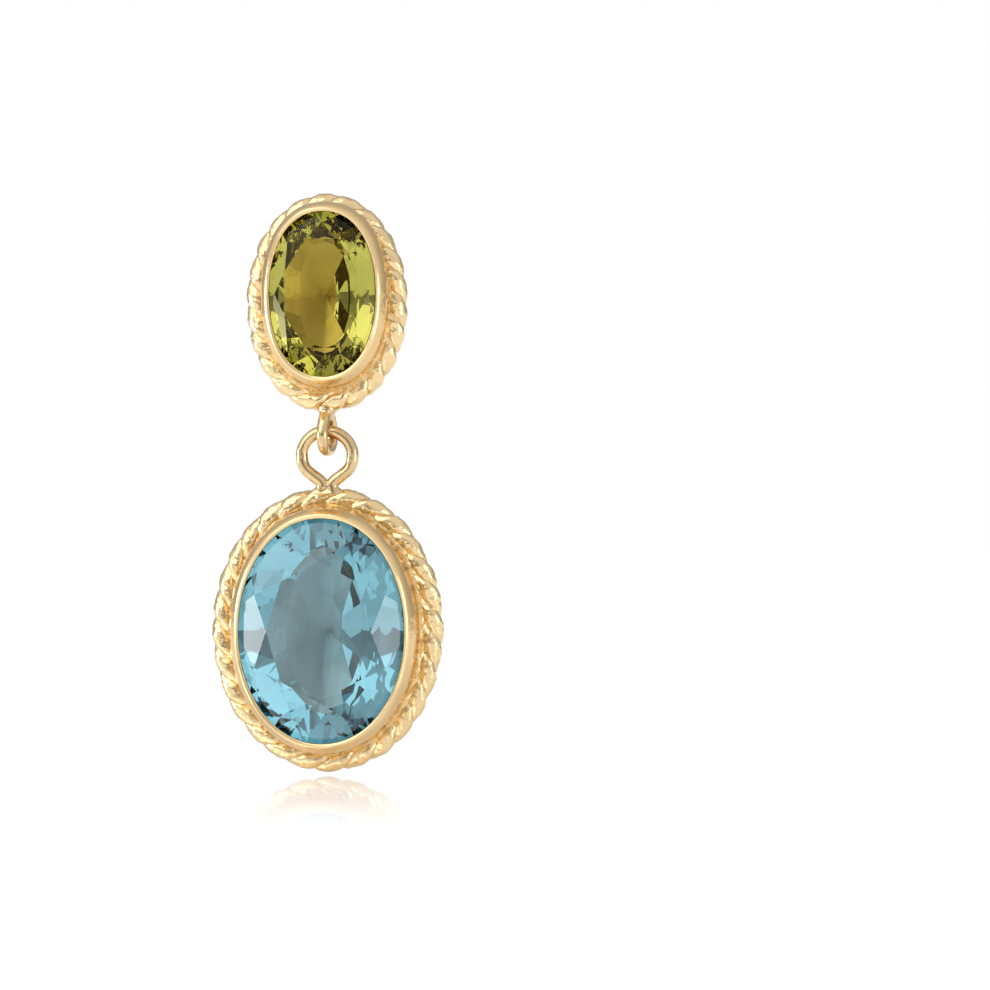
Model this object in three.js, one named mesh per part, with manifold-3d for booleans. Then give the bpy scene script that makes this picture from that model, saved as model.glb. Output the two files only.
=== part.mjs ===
// A gold drop earring: a stud with an oval green stone, a straight ear post behind it, and an oval
// blue drop that hangs from the stud by two interlocked wire loops. Millimetres, +Z up, the face
// looks along -Y. The origin is on the post's axis, at the flat back of the stud.
import * as THREE from 'three';
import { mergeVertices } from 'three/addons/utils/BufferGeometryUtils.js';
import { ConvexGeometry } from 'three/addons/geometries/ConvexGeometry.js';
import { ParametricGeometry } from 'three/addons/geometries/ParametricGeometry.js';
import Module from 'manifold-3d';

const wasm = await Module();
wasm.setup();

// Stones: calibrated ovals, 6 x 4 and 8 x 6. Fullness is 2 for an ellipse, more for a squarer oval.
const studStone = {
  halfWidth: 2,
  halfHeight: 3,
  fullness: 2.2,
  table: 0.66,
  crown: 0.6,
  girdle: 0.12,
  pavilion: 1.5,
  turn: 0.5,
};
const dropStone = {
  halfWidth: 3,
  halfHeight: 4,
  fullness: 2.05,
  table: 0.6,
  crown: 0.88,
  girdle: 0.14,
  pavilion: 2.3,
  turn: 0,
};
// Brilliant cut. A row of the pavilion's corners stands at these shares of the girdle's half width and
// half height and of the pavilion's depth; shift turns it, in half steps of the mains.
const mains = 8; // main facets round the crown
const starShare = 0.81; // where the table's stars end
const pavilionRows = [
  { across: 0.79, up: 0.85, depth: 0.247, shift: 0.5, count: 2 * mains },
  { across: 0.45, up: 0.61, depth: 0.62, shift: 0, count: 2 * mains },
  { across: 0.2, up: 0.3, depth: 0.86, shift: 1, count: mains },
];

// Bezel cups: a wall around the stone, rubbed over its edge, and a closed flat back.
const stoneFit = 0.04; // between stone and metal, all round
const studWall = 0.22;
const dropWall = 0.24;
const studBack = 0.26;
const dropBack = 0.3;
const culetRoom = 0.08; // under the stone's point
const lipOver = 0.1; // how far the lip reaches in over the stone
const lipThick = 0.16;
const lipFall = 0.42; // the lip slopes down this far, from its inner edge to the upright wall
const seatReach = 0.22; // how far the seat reaches in under the stone
const wallFlare = 0.12; // the wall stands wider where it meets the rope

// Rope frames: two strands of wire twisted together and soldered round each cup.
const ropeRadius = 0.42;
const ropeValleyShare = 0.72; // the twist's narrow way, as a share of its wide way
const studRope = { halfWidth: 2.81, halfHeight: 3.79, fullness: 2, behindLip: 1.35, turns: 11 };
const dropRope = { halfWidth: 4.04, halfHeight: 4.93, fullness: 2, behindLip: 1.85, turns: 14 };
const studStoneAbovePost = -0.08;
const studRopeBelowStone = 0.25;

// Loops: the stud's lies fore and aft, the drop's lies side to side and passes through it.
const studLoop = { halfDepth: 0.58, height: 1.34, wire: 0.2, thick: 0.18, turnedDegrees: -10 };
const dropLoop = { halfWidth: 0.875, height: 1.93, wire: 0.215 };
const linkBelowStud = 0.65; // from the stud's rope to the axis on which the drop swings
const dropLoopForward = 0.2; // the drop's loop stands this far ahead of its rope, over its balance
const solderSink = 0.25;

// Ear post: plain wire with a groove near its rounded tip.
const post = { radius: 0.34, length: 11, tip: 1.5, groove: 0.06, grooveHalf: 0.12, sink: 0.15 };

const gold = { color: 0xe3bf7c, roughness: 0.22, metalness: 1 };
const peridot = { color: 0x9aa33a, roughness: 0.05, metalness: 0 };
const topaz = { color: 0x74b4cc, roughness: 0.05, metalness: 0 };

// A closed solid from one geometry, its faces turned outwards.
function solid(geometry) {
  geometry.deleteAttribute('normal');
  geometry.deleteAttribute('uv');
  const merged = mergeVertices(geometry, 1e-5);
  const index = merged.index.array;
  const make = (second, third) => {
    const faces = [];
    for (let i = 0; i < index.length; i += 3) {
      const face = [index[i], index[i + second], index[i + third]];
      if (new Set(face).size === face.length) faces.push(...face);
    }
    return new wasm.Manifold(
      new wasm.Mesh({
        numProp: 3,
        vertProperties: new Float32Array(merged.attributes.position.array),
        triVerts: new Uint32Array(faces),
      })
    );
  };
  const first = make(1, 2);
  return first.volume() > 0 ? first : make(2, 1);
}

function joined(solids) {
  return solids.reduce((whole, next) => whole.add(next));
}

function mesh(shape, name, finish) {
  const data = shape.getMesh();
  const geometry = new THREE.BufferGeometry();
  geometry.setAttribute('position', new THREE.BufferAttribute(data.vertProperties, data.numProp));
  geometry.setIndex(new THREE.BufferAttribute(data.triVerts, 1));
  geometry.computeVertexNormals();
  const made = new THREE.Mesh(geometry, new THREE.MeshStandardMaterial(finish));
  made.name = name;
  return made;
}

// A point of an oval, as shares of its half width and half height. turn is clockwise from its top.
function ovalPoint(turn, fullness) {
  const across = Math.sin(turn);
  const up = Math.cos(turn);
  const reach = (Math.abs(across) ** fullness + Math.abs(up) ** fullness) ** (-1 / fullness);
  return [across * reach, up * reach];
}

// A band swept round an oval. section(turn) gives its closed outline as [outwards, forwards] pairs.
function ovalBand({ halfWidth, halfHeight, fullness, z }, section, steps, points) {
  const place = (u, v, target) => {
    const turn = u * 2 * Math.PI;
    const [across, up] = ovalPoint(turn, fullness);
    const [out, front] = section(turn)[Math.round(v * points) % points];
    target.set((halfWidth + out) * across, -front, z + (halfHeight + out) * up);
  };
  return solid(new ParametricGeometry(place, steps, points));
}

// Heights of a setting above its own flat back.
function levels(stone, back) {
  const girdleLow = back + culetRoom + stone.pavilion;
  const girdleHigh = girdleLow + stone.girdle;
  const crownSlope = stone.crown / (stone.halfWidth * (1 - stone.table));
  const lipUnder = girdleHigh + stoneFit + (lipOver + stoneFit) * crownSlope;
  return { girdleLow, girdleHigh, lipUnder, lip: lipUnder + lipThick };
}

// The wall's foot reaches out to its rope, which may lie lower than the stone by ropeBelow.
function bezelCup(stone, wall, back, ropeHeight, ropeBelow, z, lift, steps) {
  const { girdleLow, girdleHigh, lipUnder, lip } = levels(stone, back);
  const outer = stoneFit + wall;
  const [shoulder] = pavilionRows;
  const pavilionSlope = (shoulder.depth * stone.pavilion) / ((1 - shoulder.across) * stone.halfWidth);
  const seatDrop = seatReach * pavilionSlope + stoneFit;
  const profile = (turn) => {
    const flare = Math.max(0, wallFlare - ropeBelow * Math.cos(turn));
    return [
      [outer, 0],
      [outer + flare, ropeHeight],
      [outer + flare * 0.35, ropeHeight + ropeRadius],
      [outer, lip - lipFall],
      [outer - wall * 0.15, lip - lipFall * 0.55],
      [outer - wall * 0.5, lip - lipFall * 0.2],
      [-lipOver * 0.4, lip],
      [-lipOver, lipUnder + lipThick * 0.4],
      [-lipOver, lipUnder],
      [stoneFit, girdleHigh + stoneFit],
      [stoneFit, girdleLow - stoneFit],
      [-seatReach, girdleLow - seatDrop],
      [-seatReach, 0],
    ].map(([out, height]) => [out, height + lift]);
  };
  const wallBand = ovalBand({ ...stone, z }, profile, steps, profile(0).length);
  const rim = Array.from({ length: steps }, (_, i) => {
    const [across, up] = ovalPoint((i / steps) * 2 * Math.PI, stone.fullness);
    return new THREE.Vector2(across * stone.halfWidth, up * stone.halfHeight);
  });
  const floor = new THREE.ExtrudeGeometry(new THREE.Shape(rim), { depth: back, bevelEnabled: false });
  floor.rotateX(Math.PI / 2);
  floor.translate(0, -lift, z);
  return joined([wallBand, solid(floor)]);
}

// Two fused strands: the outline has two lobes, and it turns as it goes round the oval.
function twistedRope(rope, z, height) {
  const lobes = 8;
  const ringsPerTurn = 8;
  const section = (turn) =>
    Array.from({ length: lobes }, (_, i) => {
      const around = (-i / lobes) * 2 * Math.PI;
      const reach = ropeRadius * (ropeValleyShare + (1 - ropeValleyShare) * Math.abs(Math.cos(around)));
      const angle = around - rope.turns * turn;
      return [reach * Math.cos(angle), height + reach * Math.sin(angle)];
    });
  const halfWidth = rope.halfWidth - ropeRadius;
  const halfHeight = rope.halfHeight - ropeRadius;
  return ovalBand({ ...rope, halfWidth, halfHeight, z }, section, rope.turns * ringsPerTurn, lobes);
}

// A bent wire of oval section, along a flat open curve.
function bentWire(points, across, thick, steps) {
  const section = new THREE.Shape();
  section.absellipse(0, 0, across, thick, 0, 2 * Math.PI);
  const curve = new THREE.CatmullRomCurve3(points, false, 'centripetal');
  return solid(new THREE.ExtrudeGeometry(section, { steps, extrudePath: curve, curveSegments: 5 }));
}

// The solder where a loop meets its rope: a small flare. Rows are [radius, height].
function solderFlare(rows, deep, y, z) {
  const profile = [[0, rows[0][1]], ...rows, [0, rows.at(-1)[1]]];
  const flare = new THREE.LatheGeometry(profile.map(([r, h]) => new THREE.Vector2(r, h)), 12);
  flare.rotateX(Math.PI / 2);
  flare.scale(1, deep, 1);
  flare.translate(0, y, z);
  return solid(flare);
}

// Oval brilliant: table, stars, kites, halves, girdle, and a rounded pavilion that ends in a point.
function brilliant(stone, z, back, lift) {
  const { girdleLow, girdleHigh } = levels(stone, back);
  const halfStep = Math.PI / mains;
  const kiteDrop = (starShare * Math.cos(halfStep) - stone.table) / (1 - stone.table);
  const top = girdleHigh + stone.crown;
  const rows = [
    { across: stone.table, up: stone.table, height: top, shift: 0, count: mains },
    { across: starShare, up: starShare, height: top - kiteDrop * stone.crown, shift: 1, count: mains },
    { across: 1, up: 1, height: girdleHigh, shift: 0, count: 4 * mains },
    { across: 1, up: 1, height: girdleLow, shift: 0, count: 4 * mains },
    ...pavilionRows.map((row) => ({ ...row, height: girdleLow - row.depth * stone.pavilion })),
  ];
  const corners = [new THREE.Vector3(0, stone.pavilion - girdleLow - lift, z)];
  for (const row of rows) {
    for (let i = 0; i < row.count; i += 1) {
      const angle = (i * 2 * Math.PI) / row.count + (row.shift + 2 * stone.turn) * halfStep;
      const [across, up] = ovalPoint(angle, stone.fullness);
      const x = row.across * stone.halfWidth * across;
      corners.push(new THREE.Vector3(x, -(row.height + lift), z + row.up * stone.halfHeight * up));
    }
  }
  return solid(new ConvexGeometry(corners));
}

// Stud.
const studZ = studStoneAbovePost;
const studRopeZ = studZ - studRopeBelowStone;
const studRopeHeight = levels(studStone, studBack).lip - studRope.behindLip;
const studFoot = studRopeZ - studRope.halfHeight;
const linkY = -studRopeHeight;
const linkZ = studFoot - linkBelowStud;

// Half of the stud's loop, as shares of its half depth and height, from its foot in the rope down.
const studLoopHalf = [
  [0.36, 0.18],
  [0.36, 0],
  [0.68, -0.22],
  [0.93, -0.42],
  [1, -0.64],
  [0.76, -0.88],
  [0, -1],
];
const studLoopPoints = [
  ...studLoopHalf.map(([out, up]) => [-out, up]),
  ...studLoopHalf.slice(0, -1).reverse(),
].map(([out, up]) => {
  const turned = THREE.MathUtils.degToRad(studLoop.turnedDegrees);
  const depth = out * studLoop.halfDepth;
  return new THREE.Vector3(
    -depth * Math.sin(turned),
    linkY + depth * Math.cos(turned),
    studFoot + up * studLoop.height
  );
});

// The post and its tip, as [radius, distance behind the stud's back].
const groove = post.length - post.tip;
const postProfile = [
  [0, -post.sink],
  [post.radius, -post.sink],
  [post.radius, groove - 2 * post.grooveHalf],
  [post.radius - post.groove, groove - post.grooveHalf],
  [post.radius - post.groove, groove + post.grooveHalf],
  [post.radius, groove + 2 * post.grooveHalf],
  [post.radius, post.length - post.radius],
  [post.radius * 0.8, post.length - post.radius * 0.35],
  [post.radius * 0.4, post.length - post.radius * 0.06],
  [0, post.length],
];
const earPost = new THREE.LatheGeometry(postProfile.map(([r, y]) => new THREE.Vector2(r, y)), 14);

const studSetting = joined([
  bezelCup(studStone, studWall, studBack, studRopeHeight, studRopeBelowStone, studZ, 0, 48),
  twistedRope(studRope, studRopeZ, studRopeHeight),
  bentWire(studLoopPoints, studLoop.wire, studLoop.thick, 26),
  solderFlare([[0.1, -0.28], [0.2, -0.16], [0.36, 0.06], [0.36, solderSink]], 1.1, linkY, studFoot),
  solid(earPost),
]);

// Drop. Its back lies where its loop, set ahead of its own rope, hangs in the middle of the stud's.
const dropRopeHeight = levels(dropStone, dropBack).lip - dropRope.behindLip;
const dropLift = -linkY - (dropRopeHeight + dropLoopForward);
const dropTop = linkZ - dropLoop.height;
const dropZ = dropTop - dropRope.halfHeight;

// Half of the drop's loop, as shares of its half width and height, from its top down to its foot.
const dropLoopHalf = [
  [0, 0],
  [0.58, -0.08],
  [0.94, -0.28],
  [1, -0.49],
  [0.88, -0.66],
  [0.62, -0.8],
  [0.38, -0.91],
  [0.29, -1.0],
  [0.29, -1.16],
];
const dropLoopPoints = [
  ...dropLoopHalf.slice(1).reverse().map(([out, up]) => [-out, up]),
  ...dropLoopHalf,
].map(([out, up]) => new THREE.Vector3(out * dropLoop.halfWidth, linkY, linkZ + up * dropLoop.height));

const dropSetting = joined([
  bezelCup(dropStone, dropWall, dropBack, dropRopeHeight, 0, dropZ, dropLift, 56),
  twistedRope(dropRope, dropZ, dropRopeHeight + dropLift),
  bentWire(dropLoopPoints, dropLoop.wire, dropLoop.wire, 32),
  solderFlare([[0.74, -solderSink], [0.58, -0.04], [0.4, 0.12], [0.16, 0.3]], 0.5, linkY, dropTop),
]);

const group = new THREE.Group();
group.name = 'drop_earring';
group.add(
  mesh(studSetting, 'stud_setting', gold),
  mesh(brilliant(studStone, studZ, studBack, 0), 'stud_stone', peridot),
  mesh(dropSetting, 'pendant_setting', gold),
  mesh(brilliant(dropStone, dropZ, dropBack, dropLift), 'pendant_stone', topaz)
);

export default group;
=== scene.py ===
import math

import bpy
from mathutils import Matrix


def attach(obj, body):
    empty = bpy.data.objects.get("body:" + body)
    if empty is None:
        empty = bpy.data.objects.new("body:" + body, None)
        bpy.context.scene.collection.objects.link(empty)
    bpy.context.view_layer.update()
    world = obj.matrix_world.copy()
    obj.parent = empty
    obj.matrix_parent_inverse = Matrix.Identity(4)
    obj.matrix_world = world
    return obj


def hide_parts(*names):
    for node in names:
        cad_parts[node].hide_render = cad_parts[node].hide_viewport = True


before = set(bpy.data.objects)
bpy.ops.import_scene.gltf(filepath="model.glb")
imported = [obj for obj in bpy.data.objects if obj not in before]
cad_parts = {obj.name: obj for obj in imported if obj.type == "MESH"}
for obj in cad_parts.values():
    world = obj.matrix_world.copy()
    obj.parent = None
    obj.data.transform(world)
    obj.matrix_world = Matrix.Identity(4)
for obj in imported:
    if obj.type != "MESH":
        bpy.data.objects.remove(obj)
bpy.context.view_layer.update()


# Stud's bezel cup
# A polished gold cup with a closed flat back, round an oval 6 x 4 mm stone. Its wall leans in at the
# top and is rubbed down over the stone's edge all round, and the rope frame is soldered to it.
# It is modelled at a thousand times its size, one unit to the millimetre, and then brought to metres.
MM = 0.001
STONE_FIT = 0.04
BACK_EDGE = 0.06
LOW_RING_SHARE = 0.4
FILLET_LOW = 0.2
FILLET_HIGH = 0.7
FILLET_STEPS = 10
FILLET_BEND = 1.8
SOLDER_TOP = 0.56
LEAN_HIGH = 0.09
LEAN_LOW = 0.6
LIP_OUT = [(0, LEAN_LOW), (0.03, 0.42), (0.08, 0.26), (0.145, 0.14), (0.2, 0.07), (0.24, 0.025)]
LIP_IN = [(0.1, 0), (0.05, 0.01), (0.015, 0.028), (0, 0.05), (0, 0.07)]
UNDER_LIP = 0.13
SEAT_REACH = 0.22
SEAT_SLOPE = 1.1
SEAT_TAPER = 0.02
FLOOR_EDGE = 0.08
STUD = {
    "body": "stud",
    "centre_z": -0.08,
    "back_y": 0.0,
    "stone_half": (2.0, 3.0),
    "fullness": 2.2,
    "girdle": (1.84, 1.96),
    "floor": 0.26,
    "wall": 0.17,
    "lip": 2.283,
    "lip_over": 0.17,
    "rope_half": (2.39, 3.37),
    "rope_height": 0.933,
    "rope_z": -0.33,
    "rope_turns": 11,
}


def oval_guide(fullness, resolution):
    """A closed curve of radius 1, from a circle at a fullness of 2 to a squarer oval above it."""
    bpy.ops.object.select_all(action="DESELECT")
    bpy.ops.curve.primitive_bezier_circle_add(radius=1)
    guide = bpy.context.object
    corner = 2 ** (-1 / fullness)
    handle = (8 * corner - 4) / 3
    for point in guide.data.splines[0].bezier_points:
        for side in ("handle_left", "handle_right"):
            arm = (getattr(point, side) - point.co).normalized()
            setattr(point, side + "_type", "FREE")
            setattr(point, side, point.co + arm * handle)
    guide.data.dimensions = "2D"
    guide.data.resolution_u = resolution
    guide.data.use_radius = False
    return guide


def raise_rings(name, rings, steps, fullness=2):
    """One closed shell, pulled out ring by ring. A ring is its half width, half height, y and z."""
    guide = oval_guide(fullness, steps // 4)
    guide.data.fill_mode = "NONE"
    width, height, y, z = rings[0]
    guide.rotation_euler = (math.pi / 2, 0, 0)
    guide.location = (0, y, z)
    bpy.ops.object.convert(target="MESH")
    piece = bpy.context.object
    piece.name = piece.data.name = name
    bpy.ops.object.transform_apply(location=True, rotation=True, scale=True)
    bpy.ops.object.mode_set(mode="EDIT")
    bpy.ops.mesh.select_all(action="SELECT")
    bpy.ops.transform.resize(value=(width, 1, height), center_override=(0, y, z))
    for (old_width, old_height, old_y, old_z), (width, height, y, z) in zip(rings, rings[1:]):
        bpy.ops.mesh.extrude_region_move(TRANSFORM_OT_translate={"value": (0, y - old_y, z - old_z)})
        bpy.ops.transform.resize(
            value=(width / old_width, 1, height / old_height), center_override=(0, y, z)
        )
    bpy.ops.mesh.select_all(action="SELECT")
    bpy.ops.mesh.fill_holes(sides=0)
    bpy.ops.mesh.normals_make_consistent(inside=False)
    bpy.ops.object.mode_set(mode="OBJECT")
    return piece


def uneven(piece, size, depth):
    """Moves the surface in and out a little, as hand work does."""
    texture = bpy.data.textures.new(piece.name + "_uneven", "CLOUDS")
    texture.noise_scale = size
    texture.noise_depth = 1
    modifier = piece.modifiers.new("uneven", "DISPLACE")
    modifier.texture = texture
    modifier.texture_coords = "LOCAL"
    modifier.strength = depth
    modifier.mid_level = 0.5
    bpy.ops.object.modifier_apply(modifier="uneven")


def hand_over(piece, body, finishes, sharp=35):
    """Brings a piece to metres, smooths its shading, and says which body and finish it has."""
    bpy.ops.object.select_all(action="DESELECT")
    piece.select_set(True)
    bpy.context.view_layer.objects.active = piece
    piece.scale = (MM, MM, MM)
    bpy.ops.object.transform_apply(location=True, rotation=True, scale=True)
    bpy.ops.object.shade_smooth_by_angle(angle=math.radians(sharp))
    piece.data.materials.clear()
    for finish in finishes:
        piece.data.materials.append(finish.owner)
    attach(piece, body)
    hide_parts(body + "_setting")


def bezel_rows(cup):
    """The cup's outline: reach outwards from the stone, height above the back, and draw to the rope.

    The draw forms the fillet of solder, from just above the rope's middle up the wall. The lip's
    outside is given inwards from the wall, its inside outwards from its edge, both down from its top.
    """
    lip, over, rope_height = cup["lip"], cup["lip_over"], cup["rope_height"]
    girdle_low, girdle_high = cup["girdle"]
    outer = STONE_FIT + cup["wall"]
    rows = [(outer - BACK_EDGE, 0, 0), (outer - 0.3 * BACK_EDGE, 0.3 * BACK_EDGE, 0)]
    rows += [(outer, BACK_EDGE, 0), (outer, LOW_RING_SHARE * rope_height, 0)]
    for step in range(FILLET_STEPS + 1):
        share = step / FILLET_STEPS
        rise = FILLET_LOW + (FILLET_HIGH - FILLET_LOW) * share
        rows.append((outer, rope_height + rise, (1 - share) ** FILLET_BEND))
    rows += [(outer - inwards, lip - fall, 0) for inwards, fall in LIP_OUT]
    rows += [(outwards - over, lip - fall, 0) for outwards, fall in LIP_IN]
    rows += [(STONE_FIT, girdle_high + STONE_FIT, 0), (STONE_FIT, girdle_low - STONE_FIT, 0)]
    rows.append((-SEAT_REACH, girdle_low - SEAT_SLOPE * SEAT_REACH, 0))
    rows.append((-SEAT_REACH - SEAT_TAPER, cup["floor"] + FLOOR_EDGE, 0))
    rows.append((-SEAT_REACH - SEAT_TAPER - FLOOR_EDGE, cup["floor"], 0))
    return rows


def bezel(cup, steps):
    """The cup, in one closed shell."""
    (stone_width, stone_height), (rope_width, rope_height) = cup["stone_half"], cup["rope_half"]
    rings = []
    for reach, height, draw in bezel_rows(cup):
        half_width = stone_width + reach
        half_height = stone_height + reach
        rings.append(
            (
                half_width + draw * (rope_width - half_width),
                half_height + draw * (rope_height - half_height),
                cup["back_y"] - height,
                cup["centre_z"] + draw * (cup["rope_z"] - cup["centre_z"]),
            )
        )
    return raise_rings(cup["body"] + "_bezel", rings, steps, cup["fullness"])


def finish_zones(piece, cup):
    """Second material, painting the light and shade seen through the stone, under the lip inside the
    cup; third on the solder; fourth, rubbed with painted shade, on the leaning wall.
    """
    stone_width, stone_height = cup["stone_half"]
    for face in piece.data.polygons:
        x, y, z = (value / MM for value in face.center)
        across = x / (stone_width + STONE_FIT)
        up = (z - cup["centre_z"]) / (stone_height + STONE_FIT)
        above_back = cup["back_y"] - y
        below_lip = cup["lip"] - above_back
        if across**2 + up**2 < 1:
            inside = below_lip > UNDER_LIP and above_back > cup["floor"] / 2
            face.material_index = 1 if inside else 0
        elif FILLET_LOW < above_back - cup["rope_height"] < SOLDER_TOP:
            face.material_index = 2
        elif LEAN_HIGH < below_lip < LEAN_LOW:
            face.material_index = 3


class Shade:
    """One value in a node tree, on which Python's own operators add Math nodes."""

    def __init__(self, nodes, socket):
        self.nodes = nodes
        self.socket = socket

    def math(self, operation, other):
        return self.nodes.add("ShaderNodeMath", {"operation": operation}, {0: self, 1: other})

    def __add__(self, other):
        return self.math("ADD", other)

    def __mul__(self, other):
        return self.math("MULTIPLY", other)

    def or_more(self, other):
        return self.math("MAXIMUM", other)

    __radd__ = __add__
    __rmul__ = __mul__


class Nodes:
    """The node tree of a material or of the world, built node by node."""

    def __init__(self, owner):
        self.owner = owner
        owner.use_nodes = True
        self.tree = owner.node_tree
        self.tree.nodes.clear()

    def add(self, kind, settings, sockets, output=0):
        """Adds a node: its settings first, then the values or links of its sockets."""
        made = self.tree.nodes.new(kind)
        for name, value in settings.items():
            if name == "ramp":
                for element, (place, colour) in zip(made.color_ramp.elements, value):
                    element.position = place
                    element.color = colour
            else:
                setattr(made, name, value)
        for name, value in sockets.items():
            if isinstance(value, Shade):
                self.tree.links.new(value.socket, made.inputs[name])
            else:
                made.inputs[name].default_value = value
        return Shade(self, made.outputs[output]) if made.outputs else None

    def noise(self, where, scale, detail):
        """Soft cloudy noise, with its scale in cells to the metre."""
        sockets = {"Vector": where, "Scale": scale, "Detail": detail}
        return self.add("ShaderNodeTexNoise", {"noise_dimensions": "3D"}, sockets)

    def mix(self, share, first, second):
        """Goes from the first colour to the second."""
        sockets = {"Factor": share, "A": first, "B": second}
        return self.add("ShaderNodeMix", {"data_type": "RGBA"}, sockets, output=2)

    def change(self, value, start, end, at_start, at_end, way="LINEAR"):
        """Goes from one strength to another while a value goes from start to end."""
        sockets = {
            "Value": value,
            "From Min": start,
            "From Max": end,
            "To Min": at_start,
            "To Max": at_end,
        }
        return self.add("ShaderNodeMapRange", {"interpolation_type": way}, sockets)


WHITE = (1, 1, 1, 1)
BLACK = (0, 0, 0, 1)
# Painted shade: ambient occlusion darkens the gold's colour in its creases and hollows, where shade
# falls.
CREASE_SHADE_REACH = 0.22 * MM
CREASE_SHADE_RAMP = [(0.22, WHITE), (0.72, BLACK)]
CREASE_SHADE_SHARE = 0.6
CLOUD_SHARE = 0.7
RELIEF_HEIGHT = 0.06 * MM
ROUGHENING = 0.12


def polished_gold(name, pale, deep, crease_shade, grain, rough, pits=0):
    """Yellow gold: a soft, uneven polish, with painted shade in its creases, and pits where solder has
    run.
    """
    gold = Nodes(bpy.data.materials.new(name))
    where = gold.add("ShaderNodeTexCoord", {}, {}, output="Object")
    cloud = gold.noise(where, scale=900.0, detail=2.0)
    fine = gold.noise(where, scale=9000.0, detail=3.0)
    hollow = gold.noise(where, scale=3600.0, detail=1.0)
    open_to_air = gold.add(
        "ShaderNodeAmbientOcclusion", {"samples": 8}, {"Distance": CREASE_SHADE_REACH}, output="AO"
    )
    # Painted shade mask: darkens the colour in creases below, and also roughens them.
    shaded_crease_mask = gold.add("ShaderNodeValToRGB", {"ramp": CREASE_SHADE_RAMP}, {0: open_to_air})
    tint = gold.mix(cloud, pale, deep)
    ripple = cloud * CLOUD_SHARE + fine * (1 - CLOUD_SHARE) + hollow * pits
    relief = gold.add(
        "ShaderNodeBump", {}, {"Strength": grain, "Distance": RELIEF_HEIGHT, "Height": ripple}
    )
    surface = gold.add(
        "ShaderNodeBsdfPrincipled",
        {},
        {
            "Base Color": gold.mix(shaded_crease_mask * CREASE_SHADE_SHARE, tint, crease_shade),
            "Metallic": 1.0,
            "Roughness": rough + ROUGHENING * fine + ROUGHENING * shaded_crease_mask,
            "Normal": relief,
        },
    )
    gold.add("ShaderNodeOutputMaterial", {}, {"Surface": surface})
    return gold


WALL_PALE = (0.84, 0.63, 0.35, 1)
WALL_DEEP = (0.74, 0.53, 0.27, 1)
# A darker gold: the painted shade in creases, and the deep tone of the solder.
DEEP_AND_SHADE_GOLD = (0.64, 0.46, 0.24, 1)
bezel_gold = polished_gold("polished gold", WALL_PALE, WALL_DEEP, DEEP_AND_SHADE_GOLD, grain=0.25, rough=0.18)
# Painted shade: the stud's cup, inside under the lip, takes a darker, browner copy of the gold,
# standing in for the shade seen through the stone.
SHADED_GOLD = (0.8, 0.65, 0.36, 1)
BROWN_SHADE_GOLD = (0.56, 0.37, 0.17, 1)
stud_inside_painted_shade = polished_gold(
    "painted shade inside the stud's cup", SHADED_GOLD, BROWN_SHADE_GOLD, BROWN_SHADE_GOLD, grain=0.1, rough=0.25
)
# The leaning wall under the lip is rubbed: grainier and pitted, and its colour is painted darker and
# warmer as shade, damping its bright sheen.
RUBBED_SHADE_PALE = (0.82, 0.6, 0.31, 1)
RUBBED_SHADE_DEEP = (0.68, 0.47, 0.22, 1)
rubbed_and_shaded_gold = polished_gold(
    "rubbed gold with painted shade", RUBBED_SHADE_PALE, RUBBED_SHADE_DEEP, RUBBED_SHADE_DEEP, grain=0.4, rough=0.16, pits=0.5
)
PALE_GOLD = (0.87, 0.67, 0.375, 1)
solder_gold = polished_gold(
    "solder gold", PALE_GOLD, DEEP_AND_SHADE_GOLD, DEEP_AND_SHADE_GOLD, grain=0.6, rough=0.2, pits=2.5
)

stud_bezel = bezel(STUD, steps=144)
uneven(stud_bezel, size=1.6, depth=0.03)
uneven(stud_bezel, size=0.5, depth=0.02)
hand_over(stud_bezel, "stud", [bezel_gold, stud_inside_painted_shade, solder_gold, rubbed_and_shaded_gold])
finish_zones(stud_bezel, STUD)


# Stud's rope frame
# Two gold wires twisted together, bent round the cup and soldered to it a little behind the lip.
# The strands are squeezed flat against each other, so that they look like overlapping leaves.
ROPE_RADIUS = 0.42
STRAND = {"across": 0.3, "along": 0.35, "lean": math.radians(11)}
SECTION_POINTS = 24
RINGS_PER_TURN = 36
PATH_STEPS = 96
SEAM_GAP = 0.01


def strand(side, slice_length):
    """The first slice of one wire, on its side of the rope's middle."""
    bpy.ops.object.select_all(action="DESELECT")
    bpy.ops.mesh.primitive_circle_add(vertices=SECTION_POINTS, radius=1, rotation=(0, math.pi / 2, 0))
    wire = bpy.context.object
    wire.scale = (STRAND["along"], STRAND["across"], 1)
    bpy.ops.object.transform_apply(location=True, rotation=True, scale=True)
    wire.rotation_euler = (STRAND["lean"], 0, 0)
    wire.location = (0, side * (ROPE_RADIUS - STRAND["across"]), 0)
    bpy.ops.object.transform_apply(location=True, rotation=True, scale=True)
    bpy.ops.object.mode_set(mode="EDIT")
    bpy.ops.mesh.select_all(action="SELECT")
    bpy.ops.mesh.extrude_region_move(TRANSFORM_OT_translate={"value": (slice_length, 0, 0)})
    bpy.ops.object.mode_set(mode="OBJECT")
    return wire


def join(pieces, name):
    """Makes one object of several."""
    bpy.ops.object.select_all(action="DESELECT")
    for piece in pieces:
        piece.select_set(True)
    bpy.context.view_layer.objects.active = pieces[0]
    bpy.ops.object.join()
    whole = bpy.context.object
    whole.name = whole.data.name = name
    return whole


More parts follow.
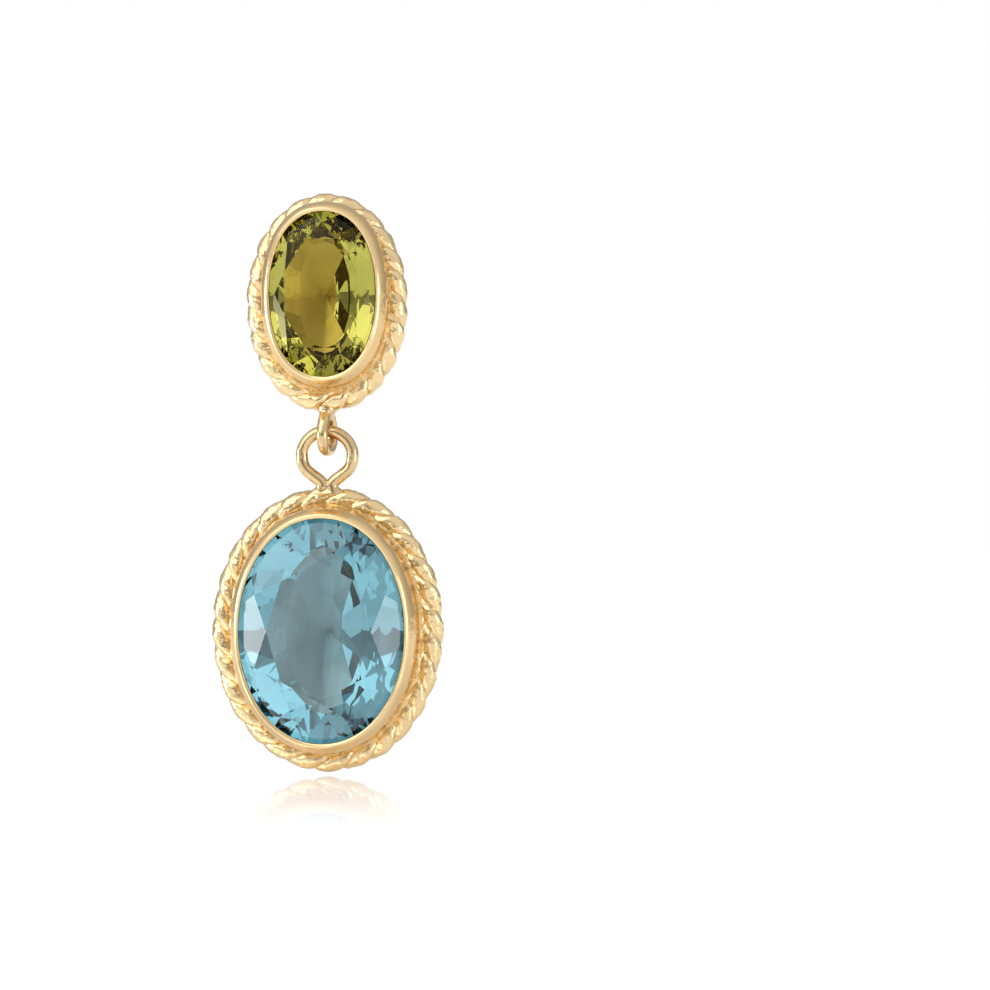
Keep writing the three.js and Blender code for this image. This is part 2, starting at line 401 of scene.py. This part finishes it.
def rope(cup):
    """The two wires, laid out straight, twisted together, and bent round their oval."""
    path = oval_guide(2, PATH_STEPS)
    path.scale = (*cup["rope_half"], 1)
    bpy.ops.object.transform_apply(location=False, rotation=False, scale=True)
    slices = cup["rope_turns"] * RINGS_PER_TURN
    slice_length = path.data.splines[0].calc_length() / slices
    piece = join([strand(-1, slice_length), strand(1, slice_length)], cup["body"] + "_rope")
    array = piece.modifiers.new("run", "ARRAY")
    array.count = slices
    array.use_relative_offset = False
    array.use_constant_offset = True
    array.constant_offset_displace = (slice_length, 0, 0)
    array.use_merge_vertices = True
    array.merge_threshold = SEAM_GAP / 10
    bpy.ops.object.modifier_apply(modifier="run")
    twist = piece.modifiers.new("twist", "SIMPLE_DEFORM")
    twist.deform_method = "TWIST"
    twist.deform_axis = "X"
    twist.angle = -cup["rope_turns"] * 2 * math.pi
    bpy.ops.object.modifier_apply(modifier="twist")
    bend = piece.modifiers.new("bend", "CURVE")
    bend.object = path
    bend.deform_axis = "POS_X"
    bpy.ops.object.modifier_apply(modifier="bend")
    bpy.data.objects.remove(path, do_unlink=True)
    piece.rotation_euler = (math.pi / 2, 0, 0)
    piece.location = (0, cup["back_y"] - cup["rope_height"], cup["rope_z"])
    bpy.ops.object.transform_apply(location=True, rotation=True, scale=True)
    bpy.ops.object.mode_set(mode="EDIT")
    bpy.ops.mesh.select_all(action="SELECT")
    bpy.ops.mesh.remove_doubles(threshold=SEAM_GAP)
    bpy.ops.mesh.normals_make_consistent(inside=False)
    bpy.ops.object.mode_set(mode="OBJECT")
    uneven(piece, size=0.9, depth=0.07)
    uneven(piece, size=0.2, depth=0.06)
    return piece


DEEP_GOLD = (0.74, 0.54, 0.28, 1)
rope_gold = polished_gold(
    "soldered rope gold", PALE_GOLD, DEEP_GOLD, DEEP_AND_SHADE_GOLD, grain=0.5, rough=0.1, pits=1.3
)
stud_rope = rope(STUD)
hand_over(stud_rope, "stud", [rope_gold], sharp=60)


# Stud's loop
# A small gold wire loop, bent fore and aft to a drop shape, its two ends soldered under the rope
# frame. The drop's loop runs through it.
STUD_FOOT = -4.12
LINK_Y = -0.933
STUD_LOOP = {"half_depth": 0.58, "height": 1.34, "wire": 0.2, "turned": math.radians(-10)}
STUD_LOOP_HALF = [
    (0.36, 0.18),
    (0.36, 0),
    (0.68, -0.22),
    (0.93, -0.42),
    (1, -0.64),
    (0.76, -0.88),
    (0, -1),
]
STUD_LOOP_WORN = [1, 1, 1, 1, 1, 0.95, 0.86, 0.95, 1, 1, 1, 1, 1]
STUD_SOLDER = [(0.1, -0.28), (0.2, -0.16), (0.36, 0.06), (0.36, 0.25)]
SOLDER_VOXEL = 0.03


def bent_wire(name, places, radius, worn):
    """A round wire along smooth points. Worn lists each point's share of the full radius."""
    bpy.ops.object.select_all(action="DESELECT")
    bpy.ops.curve.primitive_bezier_curve_add(radius=1, location=(0, 0, 0))
    wire = bpy.context.object
    wire.name = name
    spline = wire.data.splines[0]
    spline.bezier_points.add(len(places) - 2)
    for point, place, share in zip(spline.bezier_points, places, worn):
        point.co = place
        point.radius = share
        point.handle_left_type = point.handle_right_type = "AUTO"
    wire.data.dimensions = "3D"
    wire.data.resolution_u = 24
    wire.data.bevel_depth = radius
    wire.data.bevel_resolution = 8
    wire.data.use_fill_caps = True
    bpy.ops.object.convert(target="MESH")
    return bpy.context.object


def solder_flare(name, rows, deep, y, z):
    """The solder where a loop meets its rope. Rows are radius and height, deep is depth to width."""
    bpy.ops.object.select_all(action="DESELECT")
    radius, height = rows[0]
    bpy.ops.mesh.primitive_circle_add(vertices=40, radius=1, location=(0, y, z + height))
    flare = bpy.context.object
    flare.name = name
    bpy.ops.object.transform_apply(location=True, rotation=True, scale=True)
    bpy.ops.object.mode_set(mode="EDIT")
    bpy.ops.mesh.select_all(action="SELECT")
    bpy.ops.transform.resize(value=(radius, radius * deep, 1), center_override=(0, y, z + height))
    for (old_radius, old_height), (radius, height) in zip(rows, rows[1:]):
        bpy.ops.mesh.extrude_region_move(TRANSFORM_OT_translate={"value": (0, 0, height - old_height)})
        ratio = radius / old_radius
        bpy.ops.transform.resize(value=(ratio, ratio, 1), center_override=(0, y, z + height))
    bpy.ops.mesh.select_all(action="SELECT")
    bpy.ops.mesh.fill_holes(sides=0)
    bpy.ops.mesh.normals_make_consistent(inside=False)
    bpy.ops.object.mode_set(mode="OBJECT")
    return flare


def soldered(name, parts, softening):
    """Runs pieces together with soft joints, as solder does."""
    piece = join(parts, name)
    remesh = piece.modifiers.new("solder", "REMESH")
    remesh.mode = "VOXEL"
    remesh.voxel_size = SOLDER_VOXEL
    bpy.ops.object.modifier_apply(modifier="solder")
    smooth = piece.modifiers.new("soften", "SMOOTH")
    smooth.factor = 0.5
    smooth.iterations = softening
    bpy.ops.object.modifier_apply(modifier="soften")
    return piece


stud_wire = bent_wire(
    "stud_loop",
    [
        (
            -out * STUD_LOOP["half_depth"] * math.sin(STUD_LOOP["turned"]),
            LINK_Y + out * STUD_LOOP["half_depth"] * math.cos(STUD_LOOP["turned"]),
            STUD_FOOT + up * STUD_LOOP["height"],
        )
        for out, up in [(-out, up) for out, up in STUD_LOOP_HALF] + STUD_LOOP_HALF[-2::-1]
    ],
    STUD_LOOP["wire"],
    STUD_LOOP_WORN,
)
stud_solder = solder_flare("stud_solder", STUD_SOLDER, deep=1.1, y=LINK_Y, z=STUD_FOOT)
stud_loop = soldered("stud_loop", [stud_wire, stud_solder], softening=6)
uneven(stud_loop, size=0.7, depth=0.03)
LOOP_GOLD = (0.76, 0.57, 0.32, 1)
WORN_GOLD = (0.58, 0.41, 0.21, 1)
loop_gold = polished_gold("loop gold", LOOP_GOLD, WORN_GOLD, BROWN_SHADE_GOLD, grain=0.3, rough=0.06)
hand_over(stud_loop, "stud", [loop_gold], sharp=80)


# Ear post
# A straight round gold wire soldered to the back of the stud, with a groove near its rounded tip
# that a push-on earring back snaps into.
POST_RADIUS = 0.34
POST_LENGTH = 11.0
GROOVE_FROM_TIP = 1.5
POST_GROOVE = POST_LENGTH - GROOVE_FROM_TIP
POST_ROOT = [(0.56, -0.05), (0.56, 0.0), (0.46, 0.04), (0.38, 0.12), (POST_RADIUS, 0.26)]
GROOVE_CUT = [
    (0, -0.3),
    (0.0051, -0.26),
    (0.06, -0.12),
    (0.065, 0),
    (0.06, 0.12),
    (0.0051, 0.26),
    (0, 0.32),
]
TIP_STEPS = 8
TIP_STEP = math.radians(10.5)
post_rows = POST_ROOT + [(POST_RADIUS - cut, POST_GROOVE + along) for cut, along in GROOVE_CUT]
for step in range(TIP_STEPS + 1):
    turn = step * TIP_STEP
    post_rows.append((POST_RADIUS * math.cos(turn), POST_LENGTH - POST_RADIUS * (1 - math.sin(turn))))
ear_post = raise_rings("ear_post", [(radius, radius, y, 0) for radius, y in post_rows], steps=48)
hand_over(ear_post, "stud", [bezel_gold], sharp=50)


# Green stone
# An oval brilliant of olive green peridot, 6 x 4 mm, seated in the stud's cup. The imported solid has
# its true facets, so it stays and takes the stone's own glass.
WORN_ROUGHNESS = 0.02


def gem(name, ior, density, colour, shine):
    """A clear stone, coloured through its depth, with the faintest wear on its polish."""
    stone = Nodes(bpy.data.materials.new(name))
    where = stone.add("ShaderNodeTexCoord", {}, {}, output="Object")
    wear = stone.noise(where, scale=2500.0, detail=3.0)
    surface = stone.add(
        "ShaderNodeBsdfPrincipled",
        {},
        {
            "Base Color": WHITE,
            "Transmission Weight": 1.0,
            "IOR": ior,
            "Specular Tint": shine,
            "Roughness": wear * wear * WORN_ROUGHNESS,
        },
    )
    depths = stone.add("ShaderNodeVolumeAbsorption", {}, {"Color": colour, "Density": density})
    stone.add("ShaderNodeOutputMaterial", {}, {"Surface": surface, "Volume": depths})
    return stone


PERIDOT_COLOUR = (0.7, 0.68, 0.12, 1)
PERIDOT_SHINE = (0.3, 0.28, 0.16, 1)
peridot = gem("peridot", ior=1.67, density=600.0, colour=PERIDOT_COLOUR, shine=PERIDOT_SHINE)
for material_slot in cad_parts["stud_stone"].material_slots:
    material_slot.material = peridot.owner


# Drop's bezel cup
# The same kind of cup as the stud's, for an 8 x 6 mm stone: polished gold with a closed flat back,
# its lip rubbed over the stone's edge and the rope frame soldered to its wall.
DROP = {
    "body": "pendant",
    "centre_z": -11.63,
    "back_y": 0.539,
    "stone_half": (3.0, 4.0),
    "fullness": 2.05,
    "girdle": (2.68, 2.82),
    "floor": 0.3,
    "wall": 0.19,
    "lip": 3.123,
    "lip_over": 0.15,
    "rope_half": (3.62, 4.51),
    "rope_height": 1.273,
    "rope_z": -11.63,
    "rope_turns": 14,
}
# Painted light: the drop's cup, inside under the lip, takes a pale, cool grey copy of the gold,
# standing in for the light seen through the stone's window.
COOL_PAINTED_LIGHT = (0.68, 0.7, 0.76, 1)
WARM_PAINTED_LIGHT = (0.7, 0.52, 0.42, 1)
pendant_inside_painted_light = polished_gold(
    "painted light inside the drop's cup", COOL_PAINTED_LIGHT, WARM_PAINTED_LIGHT, BROWN_SHADE_GOLD, grain=0.1, rough=0.25
)
pendant_bezel = bezel(DROP, steps=176)
uneven(pendant_bezel, size=2.0, depth=0.035)
uneven(pendant_bezel, size=0.5, depth=0.02)
hand_over(pendant_bezel, "pendant", [bezel_gold, pendant_inside_painted_light, solder_gold, rubbed_and_shaded_gold])
finish_zones(pendant_bezel, DROP)


# Drop's rope frame
# The same twist of two gold wires as on the stud, three turns longer, bent to the larger oval and
# soldered round the drop's cup.
pendant_rope = rope(DROP)
hand_over(pendant_rope, "pendant", [rope_gold], sharp=60)


# Drop's loop
# A round gold wire bent almost to a full ring, whose two ends meet in a V on top of the rope frame
# and are soldered there. It runs through the stud's loop, so the drop swings.
LINK_Z = -4.77
DROP_TOP = -6.7
DROP_LOOP = {"half_width": 0.875, "height": 1.93, "wire": 0.215}
DROP_LOOP_HALF = [
    (0, 0),
    (0.58, -0.08),
    (0.94, -0.28),
    (1, -0.49),
    (0.88, -0.66),
    (0.57, -0.79),
    (0.26, -0.9),
    (0.17, -0.98),
    (0.22, -1.06),
    (0.26, -1.16),
]
DROP_SOLDER = [(0.7, -0.25), (0.5, -0.08), (0.34, 0.04), (0.2, 0.18)]
pendant_places = [
    (out * DROP_LOOP["half_width"], LINK_Y, LINK_Z + up * DROP_LOOP["height"])
    for out, up in [(-out, up) for out, up in DROP_LOOP_HALF[:0:-1]] + DROP_LOOP_HALF
]
pendant_wire = bent_wire("pendant_loop", pendant_places, DROP_LOOP["wire"], [1] * len(pendant_places))
pendant_solder = solder_flare("pendant_solder", DROP_SOLDER, deep=0.36, y=LINK_Y, z=DROP_TOP)
pendant_loop = soldered("pendant_loop", [pendant_wire, pendant_solder], softening=5)
uneven(pendant_loop, size=0.9, depth=0.03)
hand_over(pendant_loop, "pendant", [loop_gold], sharp=80)


# Blue stone
# An oval brilliant of sky blue topaz, 8 x 6 mm, seated in the drop's cup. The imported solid's facets
# stay here too.
TOPAZ_COLOUR = (0.24, 0.59, 0.66, 1)
topaz = gem("blue topaz", ior=1.62, density=350.0, colour=TOPAZ_COLOUR, shine=WHITE)
for material_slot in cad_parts["pendant_stone"].material_slots:
    material_slot.material = topaz.owner


# Floor
# A pale, evenly lit table just under the drop. It is glossy enough round the drop to show a faint
# mirror image, and matt further out.
FLOOR_Z = -0.01665
TABLE_PALE = (0.97, 0.97, 0.97, 1)
TABLE_GLOW = 1.2
TABLE_GLOW_SHARE = 0.75
TABLE_GLOSS = 0.54
TABLE_ROUGH = 0.03
GLOSS_REACH = 0.032
bpy.ops.object.select_all(action="DESELECT")
bpy.ops.mesh.primitive_plane_add(size=1, location=(0, 0, FLOOR_Z))
floor = bpy.context.object
floor.name = "floor"
bpy.ops.object.mode_set(mode="EDIT")
bpy.ops.mesh.select_all(action="SELECT")
bpy.ops.mesh.subdivide(number_cuts=3)
bpy.ops.object.mode_set(mode="OBJECT")
table = Nodes(bpy.data.materials.new("pale table"))
table_where = table.add("ShaderNodeTexCoord", {}, {}, output="Object")
table_cloud = table.noise(table_where, scale=20.0, detail=2.0)
matt = table.add("ShaderNodeBsdfDiffuse", {}, {"Color": TABLE_PALE})
lit = table.add("ShaderNodeEmission", {}, {"Color": WHITE, "Strength": TABLE_GLOW})
plain = table.add("ShaderNodeMixShader", {}, {0: TABLE_GLOW_SHARE, 1: matt, 2: lit})
gloss = table.add(
    "ShaderNodeBsdfAnisotropic",
    {},
    {"Color": WHITE, "Roughness": TABLE_ROUGH + TABLE_ROUGH * table_cloud},
)
from_drop = table.add("ShaderNodeVectorMath", {"operation": "LENGTH"}, {0: table_where}, output="Value")
polish = table.change(
    from_drop, start=0.0, end=GLOSS_REACH, at_start=TABLE_GLOSS, at_end=0.0, way="SMOOTHSTEP"
)
table_top = table.add("ShaderNodeMixShader", {}, {0: polish, 1: plain, 2: gloss})
table.add("ShaderNodeOutputMaterial", {}, {"Surface": table_top})
floor.data.materials.append(table.owner)


# Light
# A bright tent all round, darker low down, towards the camera and at the rear, where a white card
# stands. A large soft lamp is above on the left, and a small one on each side of the earring.
CARD_DIRECTION = (0, 0.995, 0.1)
studio = bpy.data.worlds.new("studio")
bpy.context.scene.world = studio
tent = Nodes(studio)
direction = tent.add("ShaderNodeTexCoord", {}, {}, output="Generated")
up = tent.add("ShaderNodeSeparateXYZ", {}, {0: direction}, output="Z")
rearward = tent.add("ShaderNodeSeparateXYZ", {}, {0: direction}, output="Y")
by_height = tent.change(up, start=-0.6, end=0.7, at_start=0.6, at_end=0.95)
by_front = tent.change(rearward, start=-0.99, end=-0.86, at_start=0.4, at_end=1.0)
by_rear = tent.change(rearward, start=0.1, end=0.6, at_start=1.0, at_end=0.6)
to_card = tent.add(
    "ShaderNodeVectorMath",
    {"operation": "DOT_PRODUCT"},
    {0: direction, 1: CARD_DIRECTION},
    output="Value",
)
card = tent.change(to_card, start=0.955, end=0.975, at_start=0.0, at_end=1.0)
seen = tent.add("ShaderNodeLightPath", {}, {}, output="Is Camera Ray")
brightness = (by_height * (by_front * by_rear)).or_more(card.or_more(seen))
background = tent.add("ShaderNodeBackground", {}, {"Color": WHITE, "Strength": brightness})
tent.add("ShaderNodeOutputWorld", {}, {"Surface": background})


def soft_lamp(name, place, aim, size, watts):
    """A square soft box, turned to face a point."""
    bpy.ops.object.light_add(type="AREA", location=place)
    lamp = bpy.context.object
    lamp.name = name
    lamp.data.shape = "SQUARE"
    lamp.data.size = size
    lamp.data.energy = watts
    away = [there - here for there, here in zip(place, aim)]
    flat = math.hypot(away[0], away[1])
    lamp.rotation_euler = (math.atan2(flat, away[2]), 0, math.atan2(away[0], -away[1]))


MIDDLE = (0, -0.001, -0.007)
soft_lamp("key", (-0.08, -0.1, 0.12), MIDDLE, size=0.2, watts=0.15)
soft_lamp("left", (-0.06, -0.012, -0.0035), MIDDLE, size=0.024, watts=0.009)
soft_lamp("right", (0.06, -0.0285, -0.0035), MIDDLE, size=0.026, watts=0.005)


# Camera
# Level with the middle of the earring and a little to its right, so that the face turns slightly
# away. The earring hangs left of the picture's middle.
PIXELS = 990
PIXELS_PER_MM = 28.9
DISTANCE = 125.0
TURN = math.radians(5.3)
AIM = (0.0, -1.0, -6.8)
AIM_PIXEL = (327, 490)
SENSOR = 36.0
BOUNCES = 32
right_mm = (PIXELS / 2 - AIM_PIXEL[0]) / PIXELS_PER_MM
down_mm = (PIXELS / 2 - AIM_PIXEL[1]) / PIXELS_PER_MM
camera_x = AIM[0] + right_mm * math.cos(TURN) + DISTANCE * math.sin(TURN)
camera_y = AIM[1] + right_mm * math.sin(TURN) - DISTANCE * math.cos(TURN)
camera_z = AIM[2] - down_mm
bpy.ops.object.camera_add(
    location=(camera_x * MM, camera_y * MM, camera_z * MM), rotation=(math.pi / 2, 0, TURN)
)
camera = bpy.context.object
camera.data.sensor_width = SENSOR
camera.data.lens = PIXELS_PER_MM * DISTANCE * SENSOR / PIXELS
camera.data.clip_start = 0.001
camera.data.clip_end = 10
bpy.context.scene.camera = camera
bpy.context.scene.view_settings.view_transform = "Standard"
bpy.context.scene.cycles.max_bounces = BOUNCES
bpy.context.scene.cycles.transmission_bounces = BOUNCES
bpy.context.scene.cycles.glossy_bounces = BOUNCES
